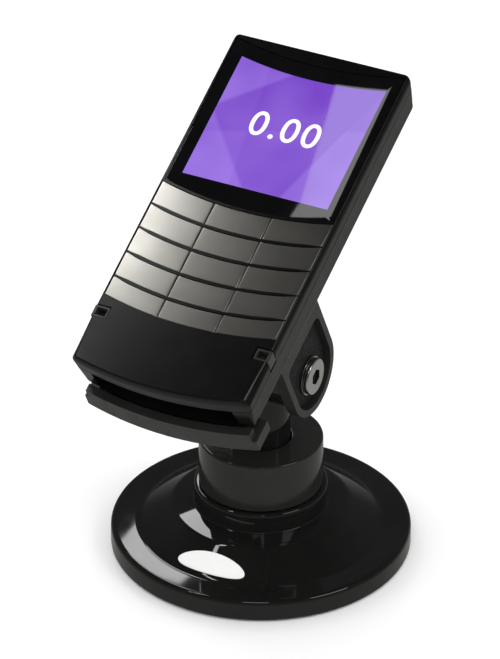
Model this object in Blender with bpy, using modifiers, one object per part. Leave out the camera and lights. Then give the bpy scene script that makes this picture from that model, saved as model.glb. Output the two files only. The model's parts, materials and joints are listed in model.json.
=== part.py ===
"""Card payment terminal on a round counter stand that swivels and tilts.

World frame: origin at the middle of the base's underside, +Z up, +X to the
viewer's right, and the screen faces -Y and up. Lengths are in millimetres,
and the helpers turn them into metres.

The terminal, its cradle and the yoke are placed in the tilting frame, whose
origin is the tilt axis. There a point is given as (across, down, deep): across
the terminal from its middle, down from its top end, and deep behind its face.
"""

import math

import bmesh
import bpy
from mathutils import Matrix, Vector

MM = 0.001
GAP = 0.3

# Stand
BASE_RADIUS = 63.5
RIM_TOP = 9.8
STEP_TOP = 19.8
HUB_RADIUS = 28.2
HUB_TOP = 29.6
SHELL = 2.4
FOOT_THICK = 2.0
COLLAR_RADIUS = 26.2
COLLAR_TOP = 52.0
COLLAR_CAVITY = 19.6
NECK_RADIUS = 12.5
FLANGE_RADIUS = 18.5
FLANGE_Z = (39.5, 45.0)

# Tilt joint
PIVOT_Z = 87.5
TILT_DEG = 27.6
BARREL_RADIUS = 15.0
BARREL_HALF = 18.6
BOLT_RADIUS = 3.9
BOLT_HOLE = 4.2
WING_INNER = 20.0
WING_OUTER = 25.0
WING_PANEL = 22.2
WING_END_RADIUS = 18.4
WING_END_RISE = 1.5
WING_RIM = 3.1
PANEL_TOP = 24.7

# Terminal
WIDTH = 81.6
CHIN_STEP = 1.5
CHIN_TOP = 140.4
END_MIDDLE = 172.1
SMILE_RADIUS = 163.0
THICK = 22.8
TAPER = 0.12
CORNER = 3.0
WALL = 2.0
FACE_WALL = 2.4
SPLIT = 8.0
FACE_HEIGHT = 80.0
TOP_END = 105.3

# Screen and keys
GLASS_HALF = 38.5
GLASS_TOP = 7.5
GLASS_END = 81.1
GLASS_THICK = 1.2
SCREEN_HALF = 33.7
SCREEN_TOP = 10.4
SCREEN_END = 71.8
KEYPAD_HALF = 39.2
KEYPAD_TOP = 82.3
ROW_PITCH = 12.25
LAST_ROW = 10.4
RIDGE = 1.5
COLUMN_GAP = 0.5
KEY_TOP = 0.1
KEY_BOTTOM = 3.1

# Sockets at the keypad's lower corners that a privacy shield clips into
SOCKET_ACROSS = (33.4, 40.3)
SOCKET_DOWN = (140.9, 146.3)
SOCKET_DEPTH = (0.4, 6.4)

# Cradle
TRAY_DEPTH = (24.2, 27.2)
TRAY_HALF = 33.5
TRAY_TOP = 80.0
LIP_DEPTH = (26.8, 33.0)
LIP_HALF = 39.2
LIP_TOP = 158.0
LIP_MIDDLE = 173.6
WALL_HALF = 37.4
WALL_TOP = 21.7
WALL_MIDDLE = 169.9
WEB_DEPTH = (27.5, 31.0)
WEB_SPAN = (86.3, 128.8)
YOKE_SCREW_ACROSS = 15.0
YOKE_SCREW_DOWN = (93.0, 122.0)


# ------------------------------------------------------------------ scene

def clear_scene():
    for old in list(bpy.data.objects):
        bpy.data.objects.remove(old, do_unlink=True)


def make_collection(name):
    collection = bpy.data.collections.new(name)
    bpy.context.scene.collection.children.link(collection)
    return collection


clear_scene()
PARTS = make_collection("card_payment_terminal")
CUTTERS = make_collection("cutters")


def material(name, colour, roughness, metallic=0.0, transmission=0.0):
    made = bpy.data.materials.new(name)
    made.use_nodes = True
    shader = made.node_tree.nodes["Principled BSDF"]
    shader.inputs["Base Color"].default_value = (*colour, 1.0)
    shader.inputs["Roughness"].default_value = roughness
    shader.inputs["Metallic"].default_value = metallic
    shader.inputs["Transmission Weight"].default_value = transmission
    made.diffuse_color = (*colour, 1.0)
    return made


GLOSS_BLACK = material("gloss_black", (0.012, 0.012, 0.012), 0.12)
SATIN_BLACK = material("satin_black", (0.025, 0.025, 0.023), 0.38)
SATIN_GREY = material("satin_grey", (0.05, 0.05, 0.048), 0.42)
KEY_METAL = material("key_metal", (0.42, 0.41, 0.38), 0.34, metallic=0.85)
GLASS = material("glass", (0.02, 0.02, 0.025), 0.05, transmission=0.9)
SCREEN = material("screen", (0.24, 0.09, 0.62), 0.25)
RUBBER = material("rubber", (0.02, 0.02, 0.02), 0.8)
STEEL = material("steel", (0.45, 0.45, 0.45), 0.4, metallic=1.0)
CHROME = material("chrome", (0.8, 0.8, 0.8), 0.12, metallic=1.0)
ZINC = material("zinc_screw", (0.2, 0.2, 0.2), 0.35, metallic=1.0)
BOARD = material("circuit_board", (0.02, 0.12, 0.05), 0.5)
CONNECTOR = material("connector", (0.03, 0.03, 0.03), 0.5)
ACETAL = material("white_acetal", (0.8, 0.8, 0.77), 0.4)
LABEL = material("label_white", (0.85, 0.85, 0.83), 0.35)


def add_object(name, bm, finish, parent=None, collection=None):
    """Turn a bmesh in millimetres into an object with its faces outward."""
    bmesh.ops.scale(bm, vec=Vector((MM, MM, MM)), verts=bm.verts)
    bmesh.ops.recalc_face_normals(bm, faces=bm.faces)
    mesh = bpy.data.meshes.new(name)
    bm.to_mesh(mesh)
    bm.free()
    made = bpy.data.objects.new(name, mesh)
    (collection or PARTS).objects.link(made)
    made.parent = parent
    if finish:
        mesh.materials.append(finish)
        mesh.shade_smooth()
        mesh.set_sharp_from_angle(angle=math.radians(32))
    else:
        made.hide_render = True
        made.display_type = "WIRE"
    return made


def empty(name, location, rotation_x=0.0):
    made = bpy.data.objects.new(name, None)
    PARTS.objects.link(made)
    made.location = Vector(location) * MM
    made.rotation_euler = (math.radians(rotation_x), 0.0, 0.0)
    return made


# ------------------------------------------------------------------ shapes

def loft(name, sections, finish, parent=None):
    """A closed body through outlines of equal point count."""
    bm = bmesh.new()
    rings = [[bm.verts.new(point) for point in section] for section in sections]
    count = len(rings[0])
    for lower, upper in zip(rings, rings[1:]):
        for i in range(count):
            j = (i + 1) % count
            bm.faces.new((lower[i], lower[j], upper[j], upper[i]))
    bm.faces.new(rings[0])
    bm.faces.new(rings[-1])
    collection = PARTS if finish else CUTTERS
    return add_object(name, bm, finish, parent, collection)


def prism(name, outline, low, high, finish, parent=None, axis="Z"):
    """An outline of (a, b) points carried from low to high along an axis."""
    place = {
        "Z": lambda a, b, h: (a, b, h),
        "X": lambda a, b, h: (h, a, b),
    }[axis]
    sections = [[place(a, b, height) for a, b in outline] for height in (low, high)]
    return loft(name, sections, finish, parent)


def box(name, low, high, finish, parent=None):
    """A cube set between two corners."""
    bm = bmesh.new()
    bmesh.ops.create_cube(bm, size=1.0)
    size = [b - a for a, b in zip(low, high)]
    middle = [(a + b) / 2 for a, b in zip(low, high)]
    bmesh.ops.scale(bm, vec=Vector(size), verts=bm.verts)
    bmesh.ops.translate(bm, vec=Vector(middle), verts=bm.verts)
    return add_object(name, bm, finish, parent, PARTS if finish else CUTTERS)


def rod(name, radius, low, high, finish, parent=None, at=(0.0, 0.0), axis="Z", sides=32):
    """A cylinder from low to high along an axis, offset across it by at."""
    bm = bmesh.new()
    bmesh.ops.create_cone(bm, cap_ends=True, segments=sides,
                          radius1=radius, radius2=radius, depth=high - low)
    bmesh.ops.translate(bm, vec=Vector((0.0, 0.0, (low + high) / 2)), verts=bm.verts)
    if axis == "X":
        bmesh.ops.rotate(bm, matrix=Matrix.Rotation(math.pi / 2, 3, "Y"), verts=bm.verts)
        bmesh.ops.translate(bm, vec=Vector((0.0, at[0], at[1])), verts=bm.verts)
    else:
        bmesh.ops.translate(bm, vec=Vector((at[0], at[1], 0.0)), verts=bm.verts)
    return add_object(name, bm, finish, parent, PARTS if finish else CUTTERS)


def turned(name, profile, finish, steps=64, parent=None):
    """A body of revolution about Z: the profile of (radius, height) is closed."""
    mesh = bpy.data.meshes.new(name)
    points = [(radius * MM, 0.0, height * MM) for radius, height in profile]
    on_axis = profile[0][0] == 0.0 and profile[-1][0] == 0.0
    links = [(i, i + 1) for i in range(len(points) - 1)]
    if not on_axis:
        links.append((len(points) - 1, 0))
    mesh.from_pydata(points, links, [])
    made = bpy.data.objects.new(name, mesh)
    (PARTS if finish else CUTTERS).objects.link(made)
    made.parent = parent
    screw = made.modifiers.new("turn", "SCREW")
    screw.steps = steps
    screw.render_steps = steps
    screw.use_merge_vertices = on_axis
    screw.merge_threshold = 0.000005
    if finish:
        mesh.materials.append(finish)
    else:
        made.hide_render = True
        made.display_type = "WIRE"
    return made


def combine(target, tool, operation):
    change = target.modifiers.new(tool.name, "BOOLEAN")
    change.operation = operation
    change.object = tool
    change.solver = "EXACT"


def cut(target, *tools):
    for tool in tools:
        combine(target, tool, "DIFFERENCE")


def join(target, *tools):
    for tool in tools:
        combine(target, tool, "UNION")


def arc(centre, radius, start, end, count):
    """Points on an arc, its angles in degrees."""
    angles = [math.radians(start + (end - start) * i / (count - 1)) for i in range(count)]
    return [(centre[0] + radius * math.cos(a), centre[1] + radius * math.sin(a)) for a in angles]


def ring_profile(inner, outer, low, high):
    return [(outer, high), (outer, low), (inner, low), (inner, high)]


def hexagon(radius):
    return arc((0.0, 0.0), radius, 0.0, 300.0, 6)


# ------------------------------------------------------------------ joints' frames

swivel = empty("swivel_axis", (0.0, 0.0, COLLAR_TOP))
swivel.parent = None
tilt = empty("tilt_axis", (0.0, 0.0, PIVOT_Z), rotation_x=TILT_DEG)


def spot(across, down, deep):
    """A point on the terminal in the tilting frame."""
    return (across, TOP_END - down, FACE_HEIGHT - deep)


def slab(name, outline, deep_from, deep_to, finish):
    """An outline of (across, down) points carried between two depths."""
    sections = [[spot(s, d, deep) for s, d in outline] for deep in (deep_to, deep_from)]
    return loft(name, sections, finish, tilt)


def block(name, across, down, deep, finish):
    """A box in the terminal's own directions, each given as (from, to)."""
    low = spot(across[0], down[1], deep[1])
    high = spot(across[1], down[0], deep[0])
    return box(name, low, high, finish, tilt)


def post(name, radius, across, down, deep, finish, sides=20):
    """A cylinder square to the terminal's face."""
    at = (across, TOP_END - down)
    return rod(name, radius, FACE_HEIGHT - deep[1], FACE_HEIGHT - deep[0], finish, tilt, at,
               sides=sides)


# ------------------------------------------------------------------ base

CONE_OUT = (50.6, 10.3)
CONE_IN = (39.0, 17.9)


def base_outline():
    """The base's outer line, from its lower edge up to the hub's middle."""
    rim = [(BASE_RADIUS, 0.8), (BASE_RADIUS, 7.9), (63.1, 9.0), (62.3, 9.6), (61.0, RIM_TOP)]
    bell = [(52.6, RIM_TOP), CONE_OUT, CONE_IN, (37.6, 18.9), (36.2, 19.6), (34.8, STEP_TOP)]
    hub = [(HUB_RADIUS + 0.7, STEP_TOP), (HUB_RADIUS, 20.6), (HUB_RADIUS, 28.8),
           (27.5, 29.4), (26.6, HUB_TOP), (0.0, HUB_TOP)]
    return rim + bell + hub


def build_base():
    hollow = [(0.0, 26.2), (25.6, 26.2), (25.6, STEP_TOP - SHELL), (35.0, STEP_TOP - SHELL),
              (37.6, 15.8), (49.6, RIM_TOP - SHELL - 0.2), (61.1, RIM_TOP - SHELL - 0.2), (61.1, 0.8)]
    outer = base_outline()
    cover = turned("base_cover", list(reversed(outer)) + list(reversed(hollow)), GLOSS_BLACK, 56)
    for i in range(3):
        turn = math.radians(60 + 120 * i)
        at = (43.0 * math.cos(turn), 43.0 * math.sin(turn))
        boss = rod(f"base_boss_{i + 1}", 4.0, 7.2, 11.9, None, at=at, sides=20)
        join(cover, boss)
        cut(cover, rod(f"base_boss_hole_{i + 1}", 1.7, 6.0, 11.4, None, at=at, sides=16))
        collar_at = collar_screw_place(i)
        cut(cover, rod(f"hub_hole_{i + 1}", 1.7, 25.0, 31.0, None, at=collar_at, sides=16))

    weight_low, weight_high = FOOT_THICK + GAP, 6.9
    weight = rod("base_weight", 60.4, weight_low, weight_high, STEEL, sides=56)
    for i in range(3):
        turn = math.radians(60 + 120 * i)
        at = (43.0 * math.cos(turn), 43.0 * math.sin(turn))
        cut(weight, rod(f"weight_hole_{i + 1}", 1.9, 0.0, 9.0, None, at=at, sides=16))
        cut(weight, rod(f"weight_sink_{i + 1}", 3.6, 0.0, 4.9, None, at=at, sides=20))
        pan_screw(f"base_screw_{i + 1}", at, 3.0, 4.6, 11.0)
    rod("foot_pad", 60.4, 0.0, FOOT_THICK, RUBBER, sides=56)


def collar_screw_place(i):
    turn = math.radians(90 + 120 * i)
    return (22.4 * math.cos(turn), 22.4 * math.sin(turn))


def pan_screw(name, at, head_low, head_high, tip):
    """A cross-head screw standing on its head, its tip up."""
    head = rod(name, 2.8, head_low, head_high, ZINC, at=at, sides=20)
    join(head, rod(f"{name}_shank", 1.5, head_high - 0.5, tip, None, at=at, sides=14))
    for k, (wide, deep) in enumerate(((1.8, 0.35), (0.35, 1.8))):
        low = (at[0] - wide, at[1] - deep, head_low - 1.0)
        high = (at[0] + wide, at[1] + deep, head_low + 0.8)
        cut(head, box(f"{name}_slot_{k + 1}", low, high, None))


def build_badge():
    """An oval label wrapped on the base's cone."""
    slope = math.atan2(CONE_IN[1] - CONE_OUT[1], CONE_OUT[0] - CONE_IN[0])
    normal = Vector((math.sin(slope), math.cos(slope)))

    def lifted(point, lift):
        return (point[0] + normal.x * lift, point[1] + normal.y * lift)

    skin = [lifted(CONE_IN, 0.7), lifted(CONE_OUT, 0.7), lifted(CONE_OUT, 0.2), lifted(CONE_IN, 0.2)]
    badge = turned("badge", skin, LABEL, 144)
    middle = 45.4
    reach = 5.4 * math.cos(slope)
    oval = [(15.4 * math.cos(a), -middle + reach * math.sin(a))
            for a in (math.tau * i / 48 for i in range(48))]
    combine(badge, prism("badge_outline", oval, 0.0, 30.0, None), "INTERSECT")


# ------------------------------------------------------------------ collar and swivel head

def build_collar():
    low = HUB_TOP + GAP
    hole = NECK_RADIUS + GAP
    ceiling = 47.0
    outer = [(COLLAR_RADIUS, COLLAR_TOP - 1.0), (COLLAR_RADIUS, low + 0.5),
             (COLLAR_RADIUS - 0.5, low)]
    inner = [(COLLAR_CAVITY, low), (COLLAR_CAVITY, ceiling), (hole, ceiling), (hole, COLLAR_TOP)]
    lip = [(COLLAR_RADIUS - 1.2, COLLAR_TOP), (COLLAR_RADIUS - 0.4, COLLAR_TOP - 0.3)]
    collar = turned("collar", outer + inner + lip, SATIN_GREY, 48)
    for i in range(3):
        at = collar_screw_place(i)
        cut(collar, rod(f"collar_hole_{i + 1}", 1.7, 25.0, 42.0, None, at=at, sides=16))
        pan_screw(f"collar_screw_{i + 1}", at, 24.2, 25.9, 40.0)

    flange_low, flange_high = FLANGE_Z
    turned("bearing_plate", ring_profile(5.0, 19.2, low + 0.3, 36.4), STEEL, 32)
    turned("spring_washer", ring_profile(10.0, 17.5, 36.7, 39.2), STEEL, 32)
    turned("thrust_washer", ring_profile(hole + 0.2, 18.0, flange_high + GAP, ceiling - GAP), ACETAL, 32)

    head = rod("swivel_head", NECK_RADIUS, flange_low, PIVOT_Z - 4.0, SATIN_BLACK, sides=36)
    join(head, rod("flange", FLANGE_RADIUS, flange_low, flange_high, None, sides=36))
    join(head, rod("barrel", BARREL_RADIUS, -BARREL_HALF, BARREL_HALF, None,
                   at=(0.0, PIVOT_Z), axis="X", sides=36))
    cut(head, rod("barrel_bore", BOLT_HOLE, -30.0, 30.0, None, at=(0.0, PIVOT_Z), axis="X"))
    cut(head, rod("neck_bore", 5.0, 30.0, PIVOT_Z - 12.0, None, sides=24))
    head.parent = swivel
    head.matrix_parent_inverse = Matrix.Translation((0.0, 0.0, -COLLAR_TOP * MM))


def build_tilt_bolt():
    """The tilt bolt, its washers and its nut, on the axis of the tilting frame."""
    for side, sign in (("right", 1.0), ("left", -1.0)):
        span = sorted((sign * (BARREL_HALF + 0.3), sign * (WING_INNER - 0.3)))
        washer = rod(f"friction_washer_{side}", 12.0, *span, ACETAL, tilt, axis="X", sides=32)
        cut(washer, rod(f"friction_washer_{side}_hole", BOLT_HOLE, -40.0, 40.0, None, tilt, axis="X"))
        span = sorted((sign * (WING_PANEL + 0.3), sign * (WING_PANEL + 1.1)))
        plate = rod(f"tilt_washer_{side}", 8.5, *span, CHROME, tilt, axis="X", sides=32)
        cut(plate, rod(f"tilt_washer_{side}_hole", BOLT_HOLE, -40.0, 40.0, None, tilt, axis="X"))

    head_low = WING_PANEL + 1.4
    bolt = rod("tilt_bolt", BOLT_RADIUS, -29.8, head_low + 1.0, CHROME, tilt, axis="X", sides=32)
    join(bolt, rod("tilt_bolt_head", 8.0, head_low, head_low + 2.0, None, tilt, axis="X", sides=36))
    socket = prism("tilt_bolt_socket", hexagon(2.7), head_low + 0.4, head_low + 9.0, None, tilt, "X")
    cut(bolt, socket)

    nut = prism("tilt_nut", hexagon(7.4), -head_low - 5.2, -head_low, CHROME, tilt, "X")
    cut(nut, rod("tilt_nut_thread", BOLT_HOLE, -50.0, 0.0, None, tilt, axis="X"))


# ------------------------------------------------------------------ yoke and cradle

def wing_outline(inset, root, corner=0.0):
    """The wing's side view as (along, height): a round end and two long edges."""
    radius = WING_END_RADIUS - inset
    foot = arc((0.0, WING_END_RISE), radius, 0.0, -180.0, 15)
    if not corner:
        return foot + [(-radius, root), (radius, root)]
    left = arc((corner - radius, root - corner), corner, 180.0, 90.0, 4)
    right = arc((radius - corner, root - corner), corner, 90.0, 0.0, 4)
    return foot + left + right


def build_yoke():
    top = FACE_HEIGHT - WEB_DEPTH[0]
    yoke = block("tilt_yoke", (-WING_OUTER, WING_OUTER), WEB_SPAN, WEB_DEPTH, SATIN_BLACK)
    for side, sign in (("right", 1.0), ("left", -1.0)):
        span = sorted((sign * WING_INNER, sign * WING_OUTER))
        join(yoke, prism(f"wing_{side}", wing_outline(0.0, top - 1.0), *span, None, tilt, "X"))
        span = sorted((sign * WING_PANEL, sign * (WING_OUTER + 3.0)))
        panel = wing_outline(WING_RIM, PANEL_TOP, corner=4.0)
        cut(yoke, prism(f"wing_panel_{side}", panel, *span, None, tilt, "X"))
    cut(yoke, rod("yoke_bolt_hole", BOLT_HOLE, -40.0, 40.0, None, tilt, axis="X", sides=24))
    for name, across, down in yoke_screw_places():
        cut(yoke, post(f"{name}_yoke_hole", 1.8, across, down, (20.0, 40.0), None, 16))


def yoke_screw_places():
    number = 0
    for across in (-YOKE_SCREW_ACROSS, YOKE_SCREW_ACROSS):
        for down in YOKE_SCREW_DOWN:
            number += 1
            yield f"yoke_screw_{number}", across, down


def back_screw(name, across, down, tip, seat, head_radius, shank_radius):
    """A cross-head screw driven from behind, between two depths."""
    screw = post(name, head_radius, across, down, (seat, seat + 1.8), ZINC)
    join(screw, post(f"{name}_shank", shank_radius, across, down, (tip, seat + 0.5), None, 14))
    for k, (wide, tall) in enumerate(((1.6, 0.3), (0.3, 1.6))):
        slot = block(f"{name}_slot_{k + 1}", (across - wide, across + wide),
                     (down - tall, down + tall), (seat + 0.9, seat + 4.0), None)
        cut(screw, slot)


def smile(across, middle):
    """How far down an arc lies at a place across, from its middle's place."""
    return middle - SMILE_RADIUS + math.sqrt(SMILE_RADIUS ** 2 - across ** 2)


def smile_points(half_from, half_to, middle, count):
    places = [half_from + (half_to - half_from) * i / (count - 1) for i in range(count)]
    return [(s, smile(s, middle)) for s in places]


def build_tray():
    near, far = TRAY_DEPTH
    tray = block("cradle_tray", (-TRAY_HALF, TRAY_HALF), (TRAY_TOP, 166.0), (near, far), SATIN_GREY)
    lip_outline = [(-LIP_HALF, LIP_TOP), (LIP_HALF, LIP_TOP)]
    lip_outline += smile_points(LIP_HALF, -LIP_HALF, LIP_MIDDLE, 13)
    join(tray, slab("lip", lip_outline, *LIP_DEPTH, None))
    wall_outline = smile_points(-WALL_HALF, WALL_HALF, WALL_MIDDLE, 13)
    wall_outline += smile_points(WALL_HALF, -WALL_HALF, LIP_MIDDLE, 13)
    join(tray, slab("lip_wall", wall_outline, WALL_TOP, LIP_DEPTH[0] + 1.0, None))
    edge = 3.0
    rim_low = (TRAY_HALF - edge, TRAY_HALF)
    for side, across in (("right", rim_low), ("left", (-rim_low[1], -rim_low[0]))):
        join(tray, block(f"tray_rib_{side}", across, (TRAY_TOP, 166.0), (far - 0.5, far + 2.6), None))
    join(tray, block("tray_rib_top", (-TRAY_HALF, TRAY_HALF), (TRAY_TOP, TRAY_TOP + edge),
                     (far - 0.5, far + 2.6), None))
    for name, across, down in yoke_screw_places():
        cut(tray, post(f"{name}_tray_hole", 1.8, across, down, (20.0, 40.0), None, 16))
        back_screw(name, across, down, near + 0.2, WEB_DEPTH[1] + 0.2, 3.0, 1.6)
    block("mounting_pad", (-30.0, 30.0), (84.0, 150.0), (THICK + GAP, near - GAP), RUBBER)


# ------------------------------------------------------------------ terminal

def body_outline(inset, chin_step):
    """The terminal's outline from the front, as (across, down) points."""
    half = WIDTH / 2 - inset
    chin = half - chin_step
    corner = max(CORNER - inset, 0.8)
    right = [(s, inset + corner - t) for s, t in arc((half - corner, 0.0), corner, 90.0, 0.0, 5)]
    right += [(half, CHIN_TOP)]
    end = END_MIDDLE - inset
    reach = SMILE_RADIUS - corner
    fillet = (chin - corner, end - SMILE_RADIUS + math.sqrt(reach ** 2 - (chin - corner) ** 2))
    sweep = 90.0 - math.degrees(math.asin((chin - corner) / reach))
    right += arc(fillet, corner, 0.0, sweep, 5)
    right += smile_points(chin - corner - 4.0, 0.0, end, 7)
    left = [(-s, d) for s, d in reversed(right[:-1])]
    return right + left


def shell_body(name, levels, finish):
    """A loft of the terminal's outline through (depth, inset, chin step) levels."""
    sections = [[spot(s, d, deep) for s, d in body_outline(inset, step)] for deep, inset, step in levels]
    return loft(name, sections, finish, tilt)


def band(half, top, end, side_gap=0.0):
    """The outline between two smiles, across the terminal's face."""
    half = half - side_gap
    upper = smile_points(-half, half, top, 11)
    lower = smile_points(half, -half, end, 11)
    return upper + lower


def key_rows():
    """Each row of keys as (top, end), measured on the middle line."""
    top = KEYPAD_TOP
    for row in range(5):
        height = LAST_ROW if row == 4 else ROW_PITCH
        yield top, top + height - RIDGE
        top += height


SCREW_PLACES = ((-34.0, 5.6), (34.0, 5.6), (-34.0, 152.0), (34.0, 152.0))


def build_front_housing():
    levels = ((SPLIT, TAPER * SPLIT, 0.0), (3.4, 0.3, 0.0), (1.3, 0.4, 0.6 * CHIN_STEP),
              (0.4, 0.8, 0.9 * CHIN_STEP), (0.0, 1.5, CHIN_STEP))
    front = shell_body("front_housing", levels, GLOSS_BLACK)
    inner = ((SPLIT + 2.0, WALL + 1.0, CHIN_STEP), (FACE_WALL, WALL + 0.3, CHIN_STEP))
    cavity = shell_body("front_cavity", inner, None)
    cut(front, cavity)
    for i, (across, down) in enumerate(SCREW_PLACES):
        join(front, post(f"front_boss_{i + 1}", 2.6, across, down, (1.2, SPLIT), None))
    for i, (across, down) in enumerate(SCREW_PLACES):
        cut(front, post(f"front_boss_hole_{i + 1}", 1.25, across, down, (3.0, 20.0), None, 14))
    pocket = band(GLASS_HALF + 0.3, GLASS_TOP - 0.3, GLASS_END + 0.3)
    cut(front, slab("glass_pocket", pocket, -2.0, GLASS_THICK + 0.4, None))
    window = [(-SCREEN_HALF, SCREEN_TOP), (SCREEN_HALF, SCREEN_TOP),
              (SCREEN_HALF, SCREEN_END), (-SCREEN_HALF, SCREEN_END)]
    cut(front, slab("screen_window", window, -2.0, 5.0, None))
    for row, (top, end) in enumerate(key_rows()):
        opening = band(KEYPAD_HALF, top, end)
        cut(front, slab(f"key_opening_{row + 1}", opening, -2.0, 5.0, None))
    for side, sign in (("left", -1.0), ("right", 1.0)):
        build_shield_socket(front, side, sign)


def build_shield_socket(front, side, sign):
    """A small open cup let into the terminal's edge."""

    def across(inner, outer):
        return tuple(sorted((sign * inner, sign * outer)))

    name = f"shield_socket_{side}"
    inner, outer = SOCKET_ACROSS
    top, end = SOCKET_DOWN
    cut(front, block(f"{name}_notch", across(inner - GAP, outer + 5.0), (top - GAP, end + GAP),
                     (-1.0, SPLIT + 1.0), None))
    cup = block(name, across(inner, outer), SOCKET_DOWN, SOCKET_DEPTH, CONNECTOR)
    cut(cup, block(f"{name}_well", across(inner + 1.0, outer - 1.4), (top + 1.0, end - 1.0),
                   (-1.0, SOCKET_DEPTH[1] - 1.2), None))


def build_rear_housing():
    levels = ((THICK, 4.2, 0.0), (THICK - 0.8, 3.1, 0.0), (THICK - 2.6, 2.5, 0.0),
              (SPLIT + GAP, TAPER * SPLIT, 0.0))
    rear = shell_body("rear_housing", levels, GLOSS_BLACK)
    inner = ((THICK - WALL, 5.0, CHIN_STEP), (SPLIT - 2.0, WALL + 1.0, CHIN_STEP))
    cut(rear, shell_body("rear_cavity", inner, None))
    for i, (across, down) in enumerate(SCREW_PLACES):
        join(rear, post(f"rear_boss_{i + 1}", 2.6, across, down, (SPLIT + GAP, THICK - 1.0), None))
    wall = [(-35.5, 157.0), (35.5, 157.0)] + smile_points(35.5, -35.5, 167.5, 9)
    join(rear, slab("mouth_wall", wall, SPLIT + GAP, THICK - 1.0, None))
    mouth = [(-32.0, 180.0), (-32.0, 165.0), (-29.5, 160.0), (29.5, 160.0), (32.0, 165.0), (32.0, 180.0)]
    cut(rear, slab("card_mouth", mouth, SPLIT - 1.0, 21.4, None))
    cut(rear, block("card_slot", (-28.0, 28.0), (150.0, 170.0), (11.6, 14.2), None))
    for i, (across, down) in enumerate(SCREW_PLACES):
        cut(rear, post(f"rear_hole_{i + 1}", 1.5, across, down, (0.0, 30.0), None, 14))
        cut(rear, post(f"rear_sink_{i + 1}", 2.3, across, down, (THICK - 3.0, 30.0), None, 20))
        back_screw(f"housing_screw_{i + 1}", across, down, 4.0, THICK - 2.8, 2.0, 1.0)
    cut(rear, block("data_opening", (-8.8, 8.8), (22.2, 35.8), (15.0, 30.0), None))


def build_screen():
    slab("display_lens", band(GLASS_HALF, GLASS_TOP, GLASS_END), 0.1, 0.1 + GLASS_THICK, GLASS)
    block("display_panel", (-35.6, 35.6), (9.0, 75.0), (FACE_WALL + GAP, 6.4), SCREEN)
    antenna = block("contactless_antenna", (-35.6, 35.6), (9.0, 77.0), (6.8, 7.6), BOARD)
    cut(antenna, block("antenna_opening", (-28.0, 28.0), (17.0, 69.0), (5.0, 10.0), None))


def build_keys():
    """Fifteen keys in five bowed rows, each an outline between two smiles."""
    third = 2 * KEYPAD_HALF / 3
    clearance = 0.25
    for row, (top, end) in enumerate(key_rows()):
        for column in range(3):
            start = -KEYPAD_HALF + third * column
            side = clearance if column == 0 else COLUMN_GAP / 2
            other = clearance if column == 2 else COLUMN_GAP / 2
            left, right = start + side, start + third - other
            upper = smile_points(left, right, top + clearance, 5)
            lower = smile_points(right, left, end - clearance, 5)
            name = f"key_row{row + 1}_col{column + 1}"
            slab(name, upper + lower, KEY_TOP, KEY_BOTTOM, KEY_METAL)
    middle_sheet = [(s, d) for s, d in band(38.2, KEYPAD_TOP + 0.5, 139.4)]
    slab("keypad_membrane", middle_sheet, 4.3, 5.3, RUBBER)
    slab("keypad_board", band(37.8, KEYPAD_TOP + 1.5, 138.5), 5.6, 6.8, BOARD)


def build_electronics():
    block("main_board", (-28.0, 28.0), (40.0, 146.0), (17.0, 18.4), BOARD)
    reader = block("card_reader", (-29.4, 29.4), (108.0, 156.6), (9.0, 16.6), CONNECTOR)
    cut(reader, block("reader_slot", (-27.5, 27.5), (114.0, 170.0), (12.0, 13.8), None))
    post("buzzer", 6.0, -14.0, 92.0, (11.6, 16.6), CONNECTOR, 28)
    port = block("data_port", (-8.4, 8.4), (22.6, 35.4), (9.0, THICK - 0.4), CONNECTOR)
    cut(port, block("port_socket", (-6.6, 6.6), (24.6, 33.4), (11.0, 30.0), None))


build_base()
build_badge()
build_collar()
build_tilt_bolt()
build_yoke()
build_tray()
build_front_housing()
build_rear_housing()
build_screen()
build_keys()
build_electronics()
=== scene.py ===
"""The card payment terminal's looks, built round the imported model.

Lengths are in millimetres until finish_piece scales a piece to metres.
"""

import json
import math

import bmesh
import bpy
from mathutils import Matrix, Vector


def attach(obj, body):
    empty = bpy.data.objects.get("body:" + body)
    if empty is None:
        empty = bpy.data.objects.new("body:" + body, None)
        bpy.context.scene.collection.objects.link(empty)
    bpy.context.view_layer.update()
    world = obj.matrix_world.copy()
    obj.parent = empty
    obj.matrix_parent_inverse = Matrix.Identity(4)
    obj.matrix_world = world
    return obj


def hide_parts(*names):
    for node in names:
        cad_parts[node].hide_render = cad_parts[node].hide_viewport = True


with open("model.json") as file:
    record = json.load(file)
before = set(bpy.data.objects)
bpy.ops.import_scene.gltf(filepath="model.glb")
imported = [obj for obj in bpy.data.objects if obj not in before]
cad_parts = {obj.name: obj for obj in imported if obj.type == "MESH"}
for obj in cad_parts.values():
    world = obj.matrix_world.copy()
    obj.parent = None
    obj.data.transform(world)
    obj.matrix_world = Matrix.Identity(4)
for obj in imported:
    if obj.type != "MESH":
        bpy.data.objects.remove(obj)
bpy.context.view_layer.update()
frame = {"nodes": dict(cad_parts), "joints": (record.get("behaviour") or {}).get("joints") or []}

MM = 0.001
DECIMETRE = 100.0
joints = {joint["name"]: joint for joint in frame["joints"]}
press = joints["key_row1_col1_press"]["axis"]
PIVOT_Z = joints["tilt"]["pos_m"][2] / MM
AT_PIVOT = Matrix.Translation((0, 0, PIVOT_Z))
AROUND_X = Matrix.Rotation(math.radians(90), 4, "Y")

# The tilting frame: its origin is on the tilt axis, its Z leaves the terminal's face.
TILTED = AT_PIVOT @ Matrix.Rotation(math.atan2(press[1], -press[2]), 4, "X")

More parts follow.
